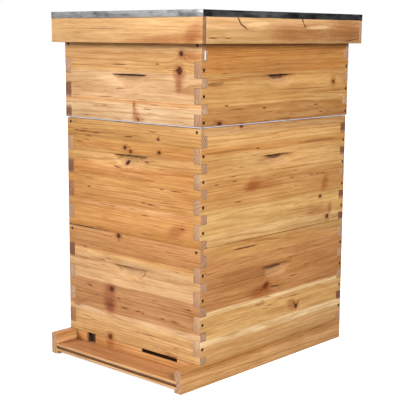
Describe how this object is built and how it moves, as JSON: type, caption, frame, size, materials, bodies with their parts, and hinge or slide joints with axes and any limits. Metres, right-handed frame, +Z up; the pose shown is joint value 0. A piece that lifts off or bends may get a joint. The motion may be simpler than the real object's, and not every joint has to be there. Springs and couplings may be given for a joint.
{
  "type": "beehive",
  "caption": "Stacked timber beehive: bottom board with landing, two deep boxes, a shallower super, hanging frames, excluder, inner cover and metal-topped cover.",
  "frame": {"origin": "on the ground under the middle of the hive's overall box, which the landing in front and the cover behind set", "axes": "+Z up the stack, -Y towards the entrance and landing, +X to the right seen from the front"},
  "size_m": [0.462, 0.585, 0.7772],
  "materials": {
    "box_wood": "waxed softwood, satin",
    "base_wood": "waxed softwood, satin",
    "cover_wood": "waxed softwood, satin",
    "frame_wood": "planed, bare",
    "excluder_sheet": "smooth",
    "cover_metal": "galvanised, dull"
  },
  "bodies": {
    "bottom_board": {"rail_left": "base_wood", "rail_right": "base_wood", "rear_bar": "base_wood", "floor_plank_front": "base_wood", "floor_plank_rear": "base_wood"},
    "reducer": {"entrance_reducer": "base_wood"},
    "lower_box": {"lower_box_front": "box_wood", "lower_box_back": "box_wood", "lower_box_left": "box_wood", "lower_box_right": "box_wood"},
    "upper_box": {"upper_box_front": "box_wood", "upper_box_back": "box_wood", "upper_box_left": "box_wood", "upper_box_right": "box_wood"},
    "excluder": {"queen_excluder": "excluder_sheet"},
    "super": {"super_front": "box_wood", "super_back": "box_wood", "super_left": "box_wood", "super_right": "box_wood"},
    "inner_cover": {"inner_cover_panel": "cover_wood", "inner_cover_front": "cover_wood", "inner_cover_back": "cover_wood", "inner_cover_left": "cover_wood", "inner_cover_right": "cover_wood"},
    "outer_cover": {"cover_deck": "cover_wood", "cover_front": "cover_wood", "cover_back": "cover_wood", "cover_left": "cover_wood", "cover_right": "cover_wood", "cover_sheet": "cover_metal"},
    "lower_frame_01": {"lower_frame_01": "frame_wood"},
    "lower_frame_02": {"lower_frame_02": "frame_wood"},
    "lower_frame_03": {"lower_frame_03": "frame_wood"},
    "lower_frame_04": {"lower_frame_04": "frame_wood"},
    "lower_frame_05": {"lower_frame_05": "frame_wood"},
    "lower_frame_06": {"lower_frame_06": "frame_wood"},
    "lower_frame_07": {"lower_frame_07": "frame_wood"},
    "lower_frame_08": {"lower_frame_08": "frame_wood"},
    "lower_frame_09": {"lower_frame_09": "frame_wood"},
    "lower_frame_10": {"lower_frame_10": "frame_wood"},
    "upper_frame_01": {"upper_frame_01": "frame_wood"},
    "upper_frame_02": {"upper_frame_02": "frame_wood"},
    "upper_frame_03": {"upper_frame_03": "frame_wood"},
    "upper_frame_04": {"upper_frame_04": "frame_wood"},
    "upper_frame_05": {"upper_frame_05": "frame_wood"},
    "upper_frame_06": {"upper_frame_06": "frame_wood"},
    "upper_frame_07": {"upper_frame_07": "frame_wood"},
    "upper_frame_08": {"upper_frame_08": "frame_wood"},
    "upper_frame_09": {"upper_frame_09": "frame_wood"},
    "upper_frame_10": {"upper_frame_10": "frame_wood"},
    "super_frame_01": {"super_frame_01": "frame_wood"},
    "super_frame_02": {"super_frame_02": "frame_wood"},
    "super_frame_03": {"super_frame_03": "frame_wood"},
    "super_frame_04": {"super_frame_04": "frame_wood"},
    "super_frame_05": {"super_frame_05": "frame_wood"},
    "super_frame_06": {"super_frame_06": "frame_wood"},
    "super_frame_07": {"super_frame_07": "frame_wood"},
    "super_frame_08": {"super_frame_08": "frame_wood"},
    "super_frame_09": {"super_frame_09": "frame_wood"},
    "super_frame_10": {"super_frame_10": "frame_wood"}
  },
  "joints": [
    {"name": "reducer_slide", "type": "slide", "parent": "bottom_board", "child": "reducer", "axis": [0, -1, 0], "range_m": [0, 0.055]},
    {"name": "lower_box_lift", "type": "slide", "parent": "bottom_board", "child": "lower_box", "axis": [0, 0, 1], "range_m": [0, 0.1]},
    {"name": "upper_box_lift", "type": "slide", "parent": "lower_box", "child": "upper_box", "axis": [0, 0, 1], "range_m": [0, 0.3]},
    {"name": "excluder_lift", "type": "slide", "parent": "upper_box", "child": "excluder", "axis": [0, 0, 1], "range_m": [0, 0.3]},
    {"name": "super_lift", "type": "slide", "parent": "excluder", "child": "super", "axis": [0, 0, 1], "range_m": [0, 0.1]},
    {"name": "inner_cover_lift", "type": "slide", "parent": "super", "child": "inner_cover", "axis": [0, 0, 1], "range_m": [0, 0.21]},
    {"name": "outer_cover_lift", "type": "slide", "parent": "inner_cover", "child": "outer_cover", "axis": [0, 0, 1], "range_m": [0, 0.12]},
    {"name": "lower_frame_01_lift", "type": "slide", "parent": "lower_box", "child": "lower_frame_01", "axis": [0, 0, 1], "range_m": [0, 0.246]},
    {"name": "lower_frame_02_lift", "type": "slide", "parent": "lower_box", "child": "lower_frame_02", "axis": [0, 0, 1], "range_m": [0, 0.246]},
    {"name": "lower_frame_03_lift", "type": "slide", "parent": "lower_box", "child": "lower_frame_03", "axis": [0, 0, 1], "range_m": [0, 0.246]},
    {"name": "lower_frame_04_lift", "type": "slide", "parent": "lower_box", "child": "lower_frame_04", "axis": [0, 0, 1], "range_m": [0, 0.246]},
    {"name": "lower_frame_05_lift", "type": "slide", "parent": "lower_box", "child": "lower_frame_05", "axis": [0, 0, 1], "range_m": [0, 0.246]},
    {"name": "lower_frame_06_lift", "type": "slide", "parent": "lower_box", "child": "lower_frame_06", "axis": [0, 0, 1], "range_m": [0, 0.246]},
    {"name": "lower_frame_07_lift", "type": "slide", "parent": "lower_box", "child": "lower_frame_07", "axis": [0, 0, 1], "range_m": [0, 0.246]},
    {"name": "lower_frame_08_lift", "type": "slide", "parent": "lower_box", "child": "lower_frame_08", "axis": [0, 0, 1], "range_m": [0, 0.246]},
    {"name": "lower_frame_09_lift", "type": "slide", "parent": "lower_box", "child": "lower_frame_09", "axis": [0, 0, 1], "range_m": [0, 0.246]},
    {"name": "lower_frame_10_lift", "type": "slide", "parent": "lower_box", "child": "lower_frame_10", "axis": [0, 0, 1], "range_m": [0, 0.246]},
    {"name": "upper_frame_01_lift", "type": "slide", "parent": "upper_box", "child": "upper_frame_01", "axis": [0, 0, 1], "range_m": [0, 0.246]},
    {"name": "upper_frame_02_lift", "type": "slide", "parent": "upper_box", "child": "upper_frame_02", "axis": [0, 0, 1], "range_m": [0, 0.246]},
    {"name": "upper_frame_03_lift", "type": "slide", "parent": "upper_box", "child": "upper_frame_03", "axis": [0, 0, 1], "range_m": [0, 0.246]},
    {"name": "upper_frame_04_lift", "type": "slide", "parent": "upper_box", "child": "upper_frame_04", "axis": [0, 0, 1], "range_m": [0, 0.246]},
    {"name": "upper_frame_05_lift", "type": "slide", "parent": "upper_box", "child": "upper_frame_05", "axis": [0, 0, 1], "range_m": [0, 0.246]},
    {"name": "upper_frame_06_lift", "type": "slide", "parent": "upper_box", "child": "upper_frame_06", "axis": [0, 0, 1], "range_m": [0, 0.246]},
    {"name": "upper_frame_07_lift", "type": "slide", "parent": "upper_box", "child": "upper_frame_07", "axis": [0, 0, 1], "range_m": [0, 0.246]},
    {"name": "upper_frame_08_lift", "type": "slide", "parent": "upper_box", "child": "upper_frame_08", "axis": [0, 0, 1], "range_m": [0, 0.246]},
    {"name": "upper_frame_09_lift", "type": "slide", "parent": "upper_box", "child": "upper_frame_09", "axis": [0, 0, 1], "range_m": [0, 0.246]},
    {"name": "upper_frame_10_lift", "type": "slide", "parent": "upper_box", "child": "upper_frame_10", "axis": [0, 0, 1], "range_m": [0, 0.246]},
    {"name": "super_frame_01_lift", "type": "slide", "parent": "super", "child": "super_frame_01", "axis": [0, 0, 1], "range_m": [0, 0.168]},
    {"name": "super_frame_02_lift", "type": "slide", "parent": "super", "child": "super_frame_02", "axis": [0, 0, 1], "range_m": [0, 0.168]},
    {"name": "super_frame_03_lift", "type": "slide", "parent": "super", "child": "super_frame_03", "axis": [0, 0, 1], "range_m": [0, 0.168]},
    {"name": "super_frame_04_lift", "type": "slide", "parent": "super", "child": "super_frame_04", "axis": [0, 0, 1], "range_m": [0, 0.168]},
    {"name": "super_frame_05_lift", "type": "slide", "parent": "super", "child": "super_frame_05", "axis": [0, 0, 1], "range_m": [0, 0.168]},
    {"name": "super_frame_06_lift", "type": "slide", "parent": "super", "child": "super_frame_06", "axis": [0, 0, 1], "range_m": [0, 0.168]},
    {"name": "super_frame_07_lift", "type": "slide", "parent": "super", "child": "super_frame_07", "axis": [0, 0, 1], "range_m": [0, 0.168]},
    {"name": "super_frame_08_lift", "type": "slide", "parent": "super", "child": "super_frame_08", "axis": [0, 0, 1], "range_m": [0, 0.168]},
    {"name": "super_frame_09_lift", "type": "slide", "parent": "super", "child": "super_frame_09", "axis": [0, 0, 1], "range_m": [0, 0.168]},
    {"name": "super_frame_10_lift", "type": "slide", "parent": "super", "child": "super_frame_10", "axis": [0, 0, 1], "range_m": [0, 0.168]}
  ],
  "couplings": [
    {"joint": "lower_frame_01_lift", "follows": "upper_box_lift", "ratio": 0.82},
    {"joint": "lower_frame_02_lift", "follows": "upper_box_lift", "ratio": 0.82},
    {"joint": "lower_frame_03_lift", "follows": "upper_box_lift", "ratio": 0.82},
    {"joint": "lower_frame_04_lift", "follows": "upper_box_lift", "ratio": 0.82},
    {"joint": "lower_frame_05_lift", "follows": "upper_box_lift", "ratio": 0.82},
    {"joint": "lower_frame_06_lift", "follows": "upper_box_lift", "ratio": 0.82},
    {"joint": "lower_frame_07_lift", "follows": "upper_box_lift", "ratio": 0.82},
    {"joint": "lower_frame_08_lift", "follows": "upper_box_lift", "ratio": 0.82},
    {"joint": "lower_frame_09_lift", "follows": "upper_box_lift", "ratio": 0.82},
    {"joint": "lower_frame_10_lift", "follows": "upper_box_lift", "ratio": 0.82},
    {"joint": "upper_frame_01_lift", "follows": "excluder_lift", "ratio": 0.82},
    {"joint": "upper_frame_02_lift", "follows": "excluder_lift", "ratio": 0.82},
    {"joint": "upper_frame_03_lift", "follows": "excluder_lift", "ratio": 0.82},
    {"joint": "upper_frame_04_lift", "follows": "excluder_lift", "ratio": 0.82},
    {"joint": "upper_frame_05_lift", "follows": "excluder_lift", "ratio": 0.82},
    {"joint": "upper_frame_06_lift", "follows": "excluder_lift", "ratio": 0.82},
    {"joint": "upper_frame_07_lift", "follows": "excluder_lift", "ratio": 0.82},
    {"joint": "upper_frame_08_lift", "follows": "excluder_lift", "ratio": 0.82},
    {"joint": "upper_frame_09_lift", "follows": "excluder_lift", "ratio": 0.82},
    {"joint": "upper_frame_10_lift", "follows": "excluder_lift", "ratio": 0.82},
    {"joint": "super_frame_01_lift", "follows": "inner_cover_lift", "ratio": 0.8},
    {"joint": "super_frame_02_lift", "follows": "inner_cover_lift", "ratio": 0.8},
    {"joint": "super_frame_03_lift", "follows": "inner_cover_lift", "ratio": 0.8},
    {"joint": "super_frame_04_lift", "follows": "inner_cover_lift", "ratio": 0.8},
    {"joint": "super_frame_05_lift", "follows": "inner_cover_lift", "ratio": 0.8},
    {"joint": "super_frame_06_lift", "follows": "inner_cover_lift", "ratio": 0.8},
    {"joint": "super_frame_07_lift", "follows": "inner_cover_lift", "ratio": 0.8},
    {"joint": "super_frame_08_lift", "follows": "inner_cover_lift", "ratio": 0.8},
    {"joint": "super_frame_09_lift", "follows": "inner_cover_lift", "ratio": 0.8},
    {"joint": "super_frame_10_lift", "follows": "inner_cover_lift", "ratio": 0.8}
  ]
}
